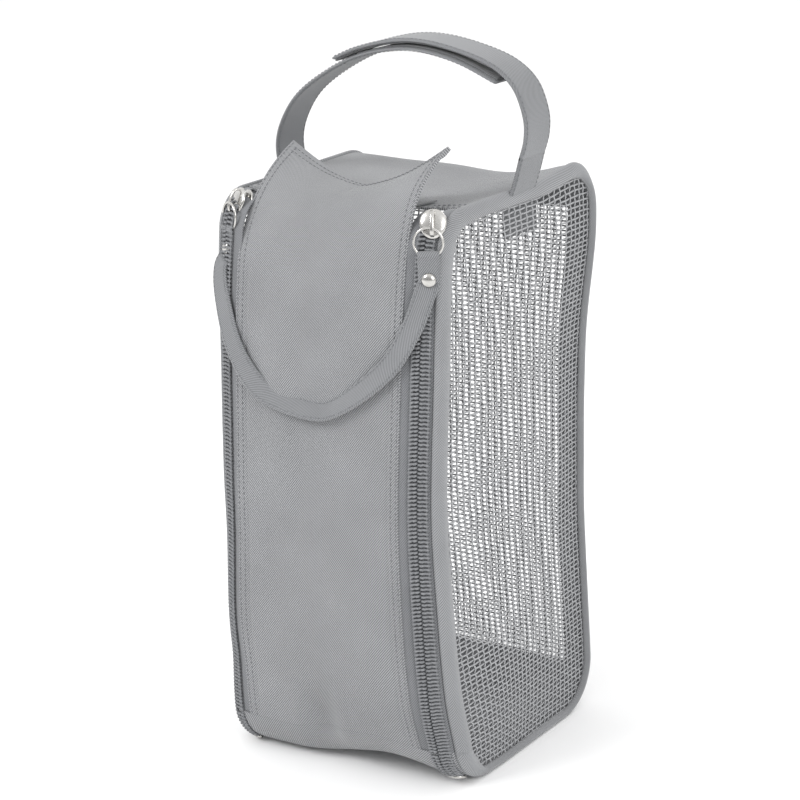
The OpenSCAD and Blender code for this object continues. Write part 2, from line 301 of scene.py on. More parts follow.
def shell_data(p, uv, thickness, sign=1):
    """A closed sheet: the grid p as its outer face and a second face thickness behind it."""
    nu, nv = p.shape[:2]
    n = grid_normals(p) * sign
    inner = p - n * np.asarray(thickness)[..., None]
    verts = np.vstack([p.reshape(-1, 3), inner.reshape(-1, 3)])
    count = nu * nv
    flip = sign < 0
    faces = grid_faces(nu, nv, 0, flip) + grid_faces(nu, nv, count, not flip)
    ring = ([(i, 0) for i in range(nu)] + [(nu - 1, j) for j in range(1, nv)]
            + [(i, nv - 1) for i in range(nu - 2, -1, -1)] + [(0, j) for j in range(nv - 2, 0, -1)])
    ids = [i * nv + j for i, j in ring]
    for k, a in enumerate(ids):
        b = ids[(k + 1) % len(ids)]
        quad = (a, a + count, b + count, b)
        faces.append(quad[::-1] if flip else quad)
    uvs = np.vstack([uv.reshape(-1, 2), uv.reshape(-1, 2)])
    return verts, faces, uvs


def shell(name, p, uv, thickness, sign=1, **options):
    verts, faces, uvs = shell_data(p, uv, thickness, sign)
    piece = make_mesh(name, verts, faces, uvs, **options)
    piece.data.set_sharp_from_angle(angle=math.radians(60))
    return piece


def strip_grid(x, s, out):
    """A grid across the body's width and along the profile. out(x, s) is its height over the profile."""
    xx, ss = np.meshgrid(np.asarray(x, float), np.asarray(s, float), indexing="ij")
    height = out(xx, ss) if callable(out) else np.full_like(xx, float(out))
    y, z = profile.at(ss, height)
    return soften(np.stack([xx, y, z], -1)), np.stack([xx, ss], -1)


def frames_along(path, side_hint):
    """Tangent, side and up directions along a path; side stays near side_hint."""
    t = unit_rows(np.gradient(path, axis=0))
    hint = np.broadcast_to(np.asarray(side_hint, float), t.shape)
    side = unit_rows(hint - (hint * t).sum(-1, keepdims=True) * t)
    return t, side, unit_rows(np.cross(side, t))


def tube_faces(count, ring):
    """The skin of a tube made of count rings of vertices, closed at both ends."""
    faces = []
    for i in range(count - 1):
        for j in range(ring):
            k = (j + 1) % ring
            faces.append((i * ring + j, i * ring + k, (i + 1) * ring + k, (i + 1) * ring + j))
    faces.append(tuple(range(ring))[::-1])
    faces.append(tuple((count - 1) * ring + j for j in range(ring)))
    return faces


def sweep_data(path, side_hint, section):
    """A section, as (side, up) offsets, swept along a path. Returns vertices, faces and UVs."""
    path = np.asarray(path, float)
    _, side, up = frames_along(path, side_hint)
    sec = np.asarray(section, float)
    if sec.ndim == 2:
        sec = np.broadcast_to(sec, (len(path),) + sec.shape)
    verts = path[:, None] + side[:, None] * sec[..., :1] + up[:, None] * sec[..., 1:]
    uv = np.stack(np.broadcast_arrays(run_along(sec[0])[None, :], run_along(path)[:, None]), -1)
    return verts.reshape(-1, 3), tube_faces(len(path), sec.shape[1]), uv.reshape(-1, 2)


def joined(parts):
    """Several (vertices, faces, UVs) as one."""
    verts, faces, uvs, start = [], [], [], 0
    for v, f, u in parts:
        verts.append(v)
        uvs.append(u)
        faces.extend(tuple(i + start for i in face) for face in f)
        start += len(v)
    return np.vstack(verts), faces, np.vstack(uvs)


def circle_section(radius, sides):
    a = np.arange(sides) * 2 * math.pi / sides
    return np.stack([np.cos(a) * radius, np.sin(a) * radius], 1)


def band_section(width, thickness, bulge=0.0, across=9):
    """A flat band with rounded edges, a little thicker at its folded sides."""
    x = np.linspace(-1, 1, across)
    half = thickness / 2 * (1 + bulge * np.abs(x) ** 6)
    half[[0, -1]] *= 0.45
    top = np.stack([x * width / 2, half], 1)
    low = np.stack([x[::-1] * width / 2, -half[::-1]], 1)
    return np.vstack([top, low])


def stitch_data(path, out_dirs, pitch=3.0, length=2.1, radius=0.26):
    """A row of single stitches along a path, half sunk into the cloth."""
    path = np.asarray(path, float)
    run = run_along(path)
    outs = np.broadcast_to(np.asarray(out_dirs, float), path.shape)
    parts = []
    section = circle_section(1.0, 6)
    for k in range(int(run[-1] / pitch)):
        middle = (k + 0.5) * pitch
        t = np.linspace(-1, 1, 5)
        where = middle + t * length / 2
        line = np.stack([np.interp(where, run, path[:, a]) for a in range(3)], 1)
        out = np.array([np.interp(middle, run, outs[:, a]) for a in range(3)])
        line = line + out * (radius * 0.9 * (1 - t**2))[:, None]
        size = radius * np.sqrt(np.maximum(0.08, 1 - t**4))
        parts.append(sweep_data(line, out, section[None] * size[:, None, None]))
    return joined(parts)


# ---- materials

def new_material(name):
    material = bpy.data.materials.new(name)
    material.use_nodes = True
    tree = material.node_tree
    return material, tree.nodes, tree.links, tree.nodes["Principled BSDF"]


def math_node(nodes, links, operation, a, b=None):
    node = nodes.new("ShaderNodeMath")
    node.operation = operation
    for socket, value in zip(node.inputs, (a, b)):
        if value is None:
            continue
        if isinstance(value, (int, float)):
            socket.default_value = value
        else:
            links.new(value, socket)
    return node.outputs[0]


def ramp(nodes, links, value, stops):
    node = nodes.new("ShaderNodeValToRGB")
    while len(node.color_ramp.elements) < len(stops):
        node.color_ramp.elements.new(0.5)
    for element, (position, color) in zip(node.color_ramp.elements, stops):
        element.position = position
        element.color = (*color, 1)
    links.new(value, node.inputs[0])
    return node.outputs[0]


def noise(nodes, links, vector, scale, detail=2.0):
    node = nodes.new("ShaderNodeTexNoise")
    node.inputs["Scale"].default_value = scale
    node.inputs["Detail"].default_value = detail
    links.new(vector, node.inputs["Vector"])
    return node.outputs["Fac"]


def cloth_uv(nodes, links, turn=0.0):
    """The cloth's own coordinates in millimetres, turned by an angle in degrees."""
    uv = nodes.new("ShaderNodeUVMap")
    uv.uv_map = "Cloth"
    mapping = nodes.new("ShaderNodeMapping")
    mapping.inputs["Rotation"].default_value[2] = math.radians(turn)
    links.new(uv.outputs[0], mapping.inputs[0])
    split = nodes.new("ShaderNodeSeparateXYZ")
    links.new(mapping.outputs[0], split.inputs[0])
    return uv.outputs[0], split.outputs[0], split.outputs[1]


def wave_of(nodes, links, value, period):
    """0 to 1 and back once each period of a length in millimetres."""
    scaled = math_node(nodes, links, "MULTIPLY", value, 2 * math.pi / period)
    sine = math_node(nodes, links, "SINE", scaled)
    half = math_node(nodes, links, "MULTIPLY", sine, 0.5)
    return math_node(nodes, links, "ADD", half, 0.5)


def mix_color(nodes, links, factor, a, b, mode="MIX"):
    node = nodes.new("ShaderNodeMix")
    node.data_type = "RGBA"
    node.blend_type = mode
    for socket, value in ((node.inputs[0], factor), (node.inputs[6], a), (node.inputs[7], b)):
        if isinstance(value, tuple):
            socket.default_value = (*value, 1)
        elif isinstance(value, (int, float)):
            socket.default_value = value
        else:
            links.new(value, socket)
    return node.outputs[2]


def bumped(nodes, links, shader, height, strength, distance):
    node = nodes.new("ShaderNodeBump")
    node.inputs["Strength"].default_value = strength
    node.inputs["Distance"].default_value = distance
    links.new(height, node.inputs["Height"])
    links.new(node.outputs[0], shader.inputs["Normal"])


def woven_material(name, light, dark, line=0.98, angle=52.0, yarn=0.55, strength=0.5, seam=None):
    """Twill: diagonal ridges over fine yarns, with slow random tone changes, and painted shade past a
    seam's u for the seam's shadow line.
    """
    material, nodes, links, shader = new_material(name)
    uv, u, v = cloth_uv(nodes, links)
    slope = math_node(nodes, links, "MULTIPLY", u, -math.sin(math.radians(angle)))
    rise = math_node(nodes, links, "MULTIPLY", v, math.cos(math.radians(angle)))
    ridge = wave_of(nodes, links, math_node(nodes, links, "ADD", slope, rise), line)
    warp = wave_of(nodes, links, u, yarn)
    weft = wave_of(nodes, links, v, yarn)
    yarns = math_node(nodes, links, "MULTIPLY", warp, weft)
    fuzz = noise(nodes, links, uv, 1.9, 3)
    weave = math_node(nodes, links, "ADD", math_node(nodes, links, "MULTIPLY", ridge, 0.72),
                      math_node(nodes, links, "MULTIPLY", yarns, 0.2))
    weave = math_node(nodes, links, "ADD", weave, math_node(nodes, links, "MULTIPLY", fuzz, 0.22))
    base = ramp(nodes, links, weave, [(0.12, dark), (0.85, light)])
    slow = noise(nodes, links, uv, 0.018, 3)
    shade = ramp(nodes, links, slow, [(0.3, (0.90, 0.90, 0.90)), (0.7, (1.06, 1.06, 1.06))])
    color = mix_color(nodes, links, 1.0, base, shade, "MULTIPLY")
    # Past the seam's u the colour is darkened: painted shade for the shadow line in the seam beside the
    # binding
    if seam:
        beyond = math_node(nodes, links, "SUBTRACT", math_node(nodes, links, "ABSOLUTE", u), seam)
        painted_seam_shadow = ramp(nodes, links, beyond, [(0.0, (1.0,) * 3), (0.5, (0.12,) * 3)])
        color = mix_color(nodes, links, 1.0, color, painted_seam_shadow, "MULTIPLY")
    links.new(color, shader.inputs["Base Color"])
    rough = ramp(nodes, links, weave, [(0.1, (0.95,) * 3), (0.9, (0.74,) * 3)])
    links.new(rough, shader.inputs["Roughness"])
    shader.inputs["Specular IOR Level"].default_value = 0.3
    shader.inputs["Sheen Weight"].default_value = 0.25
    shader.inputs["Sheen Roughness"].default_value = 0.5
    bumped(nodes, links, shader, weave, strength, 0.00035)
    return material


def plastic_material(name, light, dark, rough=0.42):
    """Moulded nylon: a little uneven in colour and gloss."""
    material, nodes, links, shader = new_material(name)
    place = nodes.new("ShaderNodeTexCoord").outputs["Object"]
    speckle = noise(nodes, links, place, 900, 3)
    links.new(ramp(nodes, links, speckle, [(0.3, dark), (0.75, light)]), shader.inputs["Base Color"])
    links.new(ramp(nodes, links, speckle, [(0.2, (rough + 0.12,) * 3), (0.8, (rough,) * 3)]),
              shader.inputs["Roughness"])
    bumped(nodes, links, shader, noise(nodes, links, place, 2500, 2), 0.25, 0.0001)
    return material


def metal_material(name):
    """Polished nickel plating with faint handling marks."""
    material, nodes, links, shader = new_material(name)
    place = nodes.new("ShaderNodeTexCoord").outputs["Object"]
    cloud = noise(nodes, links, place, 160, 4)
    fine = noise(nodes, links, place, 1400, 3)
    links.new(ramp(nodes, links, cloud, [(0.3, (0.50, 0.49, 0.47)), (0.7, (0.66, 0.65, 0.63))]),
              shader.inputs["Base Color"])
    gloss = ramp(nodes, links, fine, [(0.3, (0.16,) * 3), (0.8, (0.30,) * 3)])
    links.new(gloss, shader.inputs["Roughness"])
    shader.inputs["Metallic"].default_value = 1.0
    bumped(nodes, links, shader, cloud, 0.12, 0.0003)
    return material


def pile_material(name, light, dark):
    """Hook-and-loop strip: dense tiny loops in rows."""
    material, nodes, links, shader = new_material(name)
    uv, u, v = cloth_uv(nodes, links)
    rows = math_node(nodes, links, "MULTIPLY", wave_of(nodes, links, u, 1.1), wave_of(nodes, links, v, 1.3))
    fuzz = noise(nodes, links, uv, 2.6, 4)
    pile = math_node(nodes, links, "ADD", math_node(nodes, links, "MULTIPLY", rows, 0.55),
                     math_node(nodes, links, "MULTIPLY", fuzz, 0.5))
    links.new(ramp(nodes, links, pile, [(0.2, dark), (0.8, light)]), shader.inputs["Base Color"])
    links.new(ramp(nodes, links, fuzz, [(0.2, (0.98,) * 3), (0.8, (0.8,) * 3)]), shader.inputs["Roughness"])
    shader.inputs["Sheen Weight"].default_value = 0.35
    bumped(nodes, links, shader, pile, 0.9, 0.0006)
    return material


def stage_material(name, shade):
    material, nodes, links, shader = new_material(name)
    place = nodes.new("ShaderNodeTexCoord").outputs["Object"]
    cloud = noise(nodes, links, place, 3, 2)
    links.new(ramp(nodes, links, cloud, [(0.3, (shade - 0.01,) * 3), (0.7, (shade,) * 3)]),
              shader.inputs["Base Color"])
    shader.inputs["Roughness"].default_value = 0.9
    return material


CLOTH = woven_material("twill_cloth", (0.385, 0.39, 0.402), (0.10, 0.103, 0.11), strength=0.8)
WEBBING = woven_material("strap_cloth", (0.275, 0.28, 0.29), (0.125, 0.13, 0.138), line=0.95)
BINDING = woven_material("binding_tape", (0.33, 0.335, 0.345), (0.15, 0.155, 0.163), line=0.95, yarn=0.5)
# The zip tape's outer edge is darkened past the seam as painted shade of the shadow line between tape and
# binding
TAPE = woven_material("zip_tape", (0.24, 0.245, 0.255), (0.115, 0.12, 0.13), line=0.9, yarn=0.5,
                      seam=HALF_IN - 1.7)
COIL = plastic_material("nylon_coil", (0.25, 0.255, 0.265), (0.15, 0.155, 0.165))
NET = plastic_material("coated_net", (0.40, 0.405, 0.415), (0.27, 0.275, 0.285), rough=0.5)
# The thread is darker than the cloth so the stitch rows read as dark dots: painted shade of the needle
# holes
THREAD = plastic_material("sewing_thread", (0.25, 0.255, 0.265), (0.14, 0.145, 0.155), rough=0.6)
NICKEL = metal_material("nickel_plating")
PILE = pile_material("hook_and_loop_pile", (0.30, 0.305, 0.315), (0.12, 0.125, 0.13))
SLOT_MATERIALS = {"body_fabric": CLOTH, "net": NET, "binding_tape": BINDING, "zip_tape": TAPE,
                  "zip_coil": COIL, "nickel_hardware": NICKEL, "hook_and_loop": PILE, "webbing": WEBBING}


# ---- camera, floor and lights

def build_camera():
    """Looks at the body from the right of the front, a little above it, with a long lens."""
    azimuth, elevation, roll = math.radians(36.1), math.radians(17.3), math.radians(-2.95)
    distance, aim = 3.87 * BODY_H, np.array([-0.01, 0.0, 0.61]) * BODY_H
    back = np.array([math.sin(azimuth) * math.cos(elevation), -math.cos(azimuth) * math.cos(elevation),
                     math.sin(elevation)])
    level = np.array([math.cos(azimuth), math.sin(azimuth), 0.0])
    up = np.cross(back, level)
    right = level * math.cos(roll) + up * math.sin(roll)
    up = -level * math.sin(roll) + up * math.cos(roll)
    data = bpy.data.cameras.new("camera")
    data.lens, data.sensor_width = 99.0, 36.0
    data.clip_start, data.clip_end = 0.01, 20.0
    camera = bpy.data.objects.new("camera", data)
    matrix = Matrix.Identity(4)
    for row in range(3):
        matrix[row][0], matrix[row][1], matrix[row][2] = right[row], up[row], back[row]
        matrix[row][3] = (aim[row] + back[row] * distance) * MM
    camera.matrix_world = matrix
    bpy.context.scene.collection.objects.link(camera)
    bpy.context.scene.camera = camera


def area_light(name, place, size, power):
    data = bpy.data.lights.new(name, "AREA")
    data.shape, data.size, data.energy = "DISK", size, power
    light = bpy.data.objects.new(name, data)
    light.location = place
    light.rotation_mode = "QUATERNION"
    light.rotation_quaternion = (Vector((0, 0, 0.17)) - Vector(place)).to_track_quat("-Z", "Y")
    bpy.context.scene.collection.objects.link(light)


def build_stage():
    x = np.linspace(-1, 1, 9) * 15000
    p = np.stack(np.meshgrid(x, x, [0.0], indexing="ij"), -1)[:, :, 0]
    p[..., 2] -= 0.4
    floor = make_mesh("floor", p.reshape(-1, 3), grid_faces(9, 9),
                      material=stage_material("pale_floor", 0.93))
    world = bpy.data.worlds.new("studio")
    world.use_nodes = True
    nodes, links = world.node_tree.nodes, world.node_tree.links
    split = nodes.new("ShaderNodeSeparateXYZ")
    links.new(nodes.new("ShaderNodeTexCoord").outputs["Generated"], split.inputs[0])
    # The room is bright overhead and behind the bag, and darker low down in front of it
    height = math_node(nodes, links, "MULTIPLY", split.outputs["Z"], 1.1)
    depth = math_node(nodes, links, "MULTIPLY", split.outputs["Y"], 0.8)
    lift = math_node(nodes, links, "ADD", math_node(nodes, links, "ADD", depth, height), 0.6)
    room = ramp(nodes, links, lift, [(0.0, (0.35,) * 3), (1.0, (1.0,) * 3)])
    links.new(room, nodes["Background"].inputs[0])
    nodes["Background"].inputs[1].default_value = 1.12
    bpy.context.scene.world = world
    area_light("key", (-0.9, -1.7, 1.7), 1.0, 26)
    area_light("fill", (1.8, -0.8, 1.1), 1.1, 13)
    area_light("rim", (0.3, 1.7, 1.2), 1.0, 5)
    bpy.context.scene.view_settings.view_transform = "Standard"


# ---- fixed fabric panels

def wrinkle(x, s, size, seed):
    """Slow soft waves of the cloth, up to size high."""
    a = np.sin(x / 23.0 + seed) * np.sin(s / 41.0 + 1.7 * seed)
    b = np.sin(x / 11.0 - s / 37.0 + 2.3 * seed)
    return size * (0.65 * a + 0.35 * b)


def edge_hold(x, half):
    """1 in the middle of a panel, 0 at the seams beside it."""
    return 1 - smooth((np.abs(x) - half * 0.45) / (half * 0.55))


def front_dent(x, s):
    """The shallow buckle low on the front, which runs on under the bag where s is below 0."""
    return -6.5 * bump(x, -9, 17) * bump(s, 4, 32)


def build_panels():
    x = np.linspace(-HALF_IN, HALF_IN, 61)
    top_s = np.linspace(S["top"] + 4.0, S["back"], 70)
    p, uv = strip_grid(x, top_s, lambda a, b: wrinkle(a, b, 1.5, 0.4) * edge_hold(a, HALF_IN))
    top = shell("top_cloth", p, uv, SKIN, body="bag", nodes=["top_panel"], slot="body_fabric")
    for word, side in SIDES.items():
        strip_x = np.sort(side * np.linspace(HALF_IN - STRIP_W, HALF_IN, 12))
        p, uv = strip_grid(strip_x, np.linspace(S["back"], BACK_END + 0.5, 100), -0.7)
        strip = shell(f"{word}_back_strip_cloth", p, uv, 1.0, body="bag", nodes=[f"{word}_back_strip"],
                      slot="body_fabric")
    base_s = np.linspace(BACK_END, profile.length - 0.15, 150)
    p, uv = strip_grid(x, base_s, lambda a, b: front_dent(a, b - profile.length))
    uv[..., 1] -= profile.length
    base = shell("base_cloth", p, uv, SKIN, body="bag", nodes=["bottom_panel"], slot="body_fabric")
    hem_x = np.linspace(-HALF_IN + 2, HALF_IN - 2, 60)
    parts = []
    for inset in (1.5, 7.0):
        line, _ = strip_grid(hem_x, [S["top"] + 4.0 + inset], 0.05)
        parts.append(stitch_data(line[:, 0], (0, 0, 1)))
    hem = make_mesh("top_hem_stitching", *joined(parts), material=THREAD, body="bag", slot="body_fabric")


def binding_section(width):
    """The folded tape around a side edge: flat on the side, rounded at the corner."""
    w, t = width, BINDING_T
    return [(0.2, -1.2), (-0.9, -0.9), (-1.3, 0.1), (-0.9, t * 0.7), (0.5, t + 0.3), (w * 0.3, t + 0.9),
            (w * 0.65, t + 0.7), (w - 0.8, t * 0.7), (w, t * 0.2), (w - 0.3, -0.4), (w * 0.5, -0.6)]


def binding_width(s):
    """Wide along the front and the top, narrow along the back and under the side."""
    front = np.maximum(1 - smooth((s - S["front_top"]) / 12), smooth((s - S["front_low"]) / 20))
    top = smooth((s - S["front_top"]) / 12) * (1 - smooth((s - S["back_top"]) / 30))
    corner = 3.2 * bump(s, (S["front_top"] + S["top"]) / 2, 34)
    width = BINDING_BACK_W + (BINDING_FRONT_W - BINDING_BACK_W) * front
    return width + (BINDING_TOP_W - BINDING_BACK_W) * top + corner


def build_binding(word, side):
    """The tape runs once round the side; its section is (inward along the side, outward)."""
    count = 420
    s = np.linspace(0, profile.length, count, endpoint=False)
    width = binding_width(s)
    sections = np.stack([np.array(binding_section(w)) for w in width])
    ring = sections.shape[1]
    verts, uv = [], []
    girth = run_along(sections[0])
    for k in range(ring):
        y, z = profile.at(s, -sections[:, k, 0])
        x = side * (HALF_IN + sections[:, k, 1])
        verts.append(soften(np.stack([x, y, z], -1)))
        uv.append(np.stack([np.full(count, girth[k]), s], -1))
    verts = np.stack(verts, 1).reshape(-1, 3)
    uv = np.stack(uv, 1).reshape(-1, 2)
    faces = []
    for i in range(count):
        j = (i + 1) % count
        for k in range(ring):
            m = (k + 1) % ring
            quad = (i * ring + k, i * ring + m, j * ring + m, j * ring + k)
            faces.append(quad if side > 0 else quad[::-1])
    make_mesh(f"{word}_binding_tape", verts, faces, uv, body="bag", nodes=[f"{word}_binding"],
              slot="binding_tape")


# ---- nets

def inside_profile(inset):
    """The side outline at an inset, as a closed loop of (y, z)."""
    s = np.linspace(0, profile.length, 400, endpoint=False)
    return np.stack(profile.at(s, -inset), -1)


def crossings(loop, axis, value):
    """Where a closed loop crosses coordinate axis = value: the other coordinate, lowest and highest."""
    a, b = loop, np.roll(loop, -1, axis=0)
    da, db = a[:, axis] - value, b[:, axis] - value
    hit = (da * db) < 0
    t = da[hit] / (da[hit] - db[hit])
    other = a[hit, 1 - axis] + t * (b[hit, 1 - axis] - a[hit, 1 - axis])
    return (other.min(), other.max()) if len(other) else None


def net_x(y, z, side):
    """The net bows out between its bindings and has a slack wave or two."""
    across = np.clip(1 - ((y + 3) / 68) ** 2, 0, 1)
    along = np.clip(1 - ((z - 160) / 152) ** 4, 0, 1)
    bow = 3.2 * across * along
    wave = 0.9 * np.sin(z / 31.0 + y / 47.0 + side) * across
    return side * (HALF_IN - 0.6 + bow + wave * along)


# The strands' width and thickness, and how far they weave out and in
STRAND_UP = (1.1, 0.5)
STRAND_ACROSS = (0.95, 0.55)
STRAND_LIFT = 0.28


def build_net(word, side):
    loop = inside_profile(1.5)
    parts = []
    y_lines = np.arange(-71, 73, NET_PITCH_Y)
    z_lines = np.arange(3, 319, NET_PITCH_Z)
    for i, y in enumerate(y_lines):
        span = crossings(loop, 0, y)
        if not span or span[1] - span[0] < 8:
            continue
        z = np.arange(span[0], span[1], NET_PITCH_Z / 2)
        lift = STRAND_LIFT * np.cos((z - z_lines[0]) / NET_PITCH_Z * math.pi + math.pi * i)
        yy = y + 0.35 * np.sin(z / 19.0) + 0.22 * np.sin(z / 7.3 + 2.1 * i)
        path = np.stack([net_x(yy, z, side) + side * lift, yy, z], 1)
        parts.append(sweep_data(soften(path), (0, 1, 0), band_section(*STRAND_UP, across=3)))
    for j, z in enumerate(z_lines):
        span = crossings(loop, 1, z)
        if not span or span[1] - span[0] < 8:
            continue
        y = np.arange(span[0], span[1], NET_PITCH_Y / 2)
        lift = -STRAND_LIFT * np.cos((y - y_lines[0]) / NET_PITCH_Y * math.pi + math.pi * j)
        zz = z + 0.3 * np.sin(y / 17.0) + 0.15 * np.sin(y / 6.1 + 1.7 * j)
        path = np.stack([net_x(y, zz, side) + side * lift, y, zz], 1)
        parts.append(sweep_data(soften(path), (0, 0, 1), band_section(*STRAND_ACROSS, across=3)))
    net = make_mesh(f"{word}_net", *joined(parts), body="bag", nodes=[f"{word}_net_panel"], slot="net")


def build_back_net():
    parts = []
    start, end = S["back"] + 1, BACK_END + 1
    x_lines = np.arange(-HALF_IN + 2.7, HALF_IN, NET_PITCH_Y)
    s_lines = np.arange(start, end, NET_PITCH_Z)

    def on_back(x, s, lift):
        bow = 2.5 * edge_hold(x, HALF_IN) * np.sin((s - start) / (end - start) * math.pi)
        y, z = profile.at(s, bow + lift)
        return soften(np.stack([x, y, z], -1))

    for i, x in enumerate(x_lines):
        s = np.arange(start, end, NET_PITCH_Z / 2)
        lift = STRAND_LIFT * np.cos((s - start) / NET_PITCH_Z * math.pi + math.pi * i)
        path = on_back(x + 0.35 * np.sin(s / 21.0), s, lift)
        parts.append(sweep_data(path, (1, 0, 0), band_section(*STRAND_UP, across=3)))
    for j, s in enumerate(s_lines):
        x = np.arange(-HALF_IN + 1, HALF_IN, NET_PITCH_Y / 2)
        lift = -STRAND_LIFT * np.cos((x - x_lines[0]) / NET_PITCH_Y * math.pi + math.pi * j)
        path = on_back(x, np.full_like(x, s), lift)
        down = np.subtract(profile.at(s + 1), profile.at(s - 1))
        parts.append(sweep_data(path, (0, down[0], down[1]), band_section(*STRAND_ACROSS, across=3)))
    net = make_mesh("back_net", *joined(parts), body="bag", nodes=["back_net_panel"], slot="net")


# ---- front cloth with its tongue

TONGUE_FROM = 262.0
TONGUE_RUN = 60.0
TONGUE_TO = TONGUE_FROM + TONGUE_RUN
EDGE_LINES = (1.2, 4.6)


def tongue_curve(x):
    """The four Bezier points (y, z) of the cloth above TONGUE_FROM, for each x."""
    t = (np.asarray(x, float) / PANEL_HALF)[..., None]
    reach = np.abs(t) ** 1.3
    left, middle, right = np.where(t < 0, reach, 0), 1 - reach, np.where(t > 0, reach, 0)
    p0 = np.array(front_point(TONGUE_FROM))
    lean_up = np.array([math.sin(LEAN), math.cos(LEAN)])
    p1 = p0 + lean_up * (left * 22 + middle * 34 + right * 40)
    p2 = left * np.array([-46, 332]) + middle * np.array([-49, 327]) + right * np.array([-54, 334])
    p3 = left * np.array([-15, 344]) + middle * np.array([-22, 329]) + right * np.array([-25, 350])
    return np.broadcast_to(p0, p1.shape), p1, p2, p3


def front_cloth_grid(x, s):
    """The front panel as a grid; s runs on over the tongue past TONGUE_FROM as 0..1 of it."""
    xx, ss = np.meshgrid(x, s, indexing="ij")
    low = np.minimum(ss, TONGUE_FROM)
    hold = edge_hold(xx, PANEL_HALF)
    fold = 1.6 * bump(xx + (low - 150) * 0.05, -22, 16) * bump(low, 185, 120)
    hem = -0.45 * bump(np.abs(xx), PANEL_HALF - 7.2, 1.3) * smooth(low / 12)
    out = fold + front_dent(xx, low) + hem + wrinkle(xx, low, 0.9, 2.0) * hold * smooth(low / 20)
    y, z = front_point(low, out)
    over = np.clip((ss - TONGUE_FROM) / TONGUE_RUN, 0, 1)
    p0, p1, p2, p3 = tongue_curve(xx)
    t = over[..., None]
    curve = (1 - t) ** 3 * p0 + 3 * (1 - t) ** 2 * t * p1 + 3 * (1 - t) * t * t * p2 + t**3 * p3
    past = ss > TONGUE_FROM
    y = np.where(past, curve[..., 0], y)
    z = np.where(past, curve[..., 1], z)
    p = soften(np.stack([xx, y, z], -1))
    run = np.zeros_like(xx)
    run[:, 1:] = np.cumsum(np.linalg.norm(np.diff(p, axis=1), axis=-1), axis=1)
    return p, np.stack([xx, run], -1)


def build_front_cloth():
    edge = PANEL_HALF - np.array([0, 0.6, 1.4, 2.8, 4.2, 5.4, 6.0, 6.6, 7.2, 7.8, 8.4, 9.2])
    x = np.concatenate([-edge, np.linspace(-PANEL_HALF + 11, PANEL_HALF - 11, 55), edge[::-1]])
    s = np.concatenate([np.linspace(0.0, TONGUE_FROM, 120), np.linspace(TONGUE_FROM, TONGUE_TO, 40)[1:]])
    p, uv = front_cloth_grid(x, s)
    rolled = 1.1 * smooth((s - TONGUE_FROM - 54.5) / 1.5)
    thickness = SKIN + np.broadcast_to(rolled, p.shape[:2])
    cloth = shell("front_cloth", p, uv, thickness, slot="body_fabric", nodes=["front_panel", "tongue"])
    n = grid_normals(p)
    parts = []
    for inset in EDGE_LINES:
        for side in (LEFT, RIGHT):
            line_x = np.array([side * (PANEL_HALF - inset)] * 2) + np.array([0, 0.5])
            line, _ = front_cloth_grid(line_x, s)
            parts.append(stitch_data(line[0], n[0 if side < 0 else -1]))
    end_x = np.linspace(-PANEL_HALF + 3, PANEL_HALF - 3, 60)
    for inset in (2.0, 4.0):
        line, _ = front_cloth_grid(end_x, TONGUE_TO - inset + np.array([0, 0.5]))
        parts.append(stitch_data(line[:, 0], (0, -0.3, 0.95)))
    thread = make_mesh("front_topstitching", *joined(parts), material=THREAD, slot="body_fabric")
    for piece in (cloth, thread):
        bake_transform(piece)


# ---- zips

def tape_shell(name, x0, x1, s0, s1, count, out, body, nodes):
    p, uv = strip_grid(np.linspace(x0, x1, 7), np.linspace(s0, s1, count), out)
    shell(name, p, uv, TAPE_T, body=body, nodes=nodes, slot="zip_tape")


def teeth(name, zip_x, side_out, s0, s1, phase, body, nodes):
    """One row of coil turns; side_out is +1 where it lies on the greater-x side of its line."""
    across = np.array([1.0, 0.97, 0.8, 0.56, 0.34, 0.14, 0.1]) * ROW_W + ROW_GAP * 0.2
    height = np.array([0.0, 0.8, 1.2, 0.5, 1.25, 1.1, 0.1])
    slant = np.array([-0.3, -0.3, -0.1, 0.1, 0.0, 0.25, 0.3]) * TOOTH_PITCH * 0.5
    section = circle_section(0.74, 6)
    parts = []
    for k in range(int((s1 - s0) / TOOTH_PITCH)):
        s = s0 + (k + 0.5 + phase) * TOOTH_PITCH
        y, z = profile.at(s + slant, height)
        path = soften(np.stack([zip_x + side_out * across, y, z], -1))
        parts.append(sweep_data(path, (0, 0.3, 1.0), section))
    # A thread runs along the far ends of the turns
    s = np.arange(s0, s1, TOOTH_PITCH / 2)
    y, z = profile.at(s, 0.9 + 0.15 * np.cos(s / TOOTH_PITCH * 2 * math.pi))
    path = soften(np.stack([np.full_like(s, zip_x + side_out * ROW_W * 0.98), y, z], -1))
    parts.append(sweep_data(path, (1, 0, 0), circle_section(0.36, 5)))
    make_mesh(name, *joined(parts), body=body, nodes=nodes, slot="zip_coil")


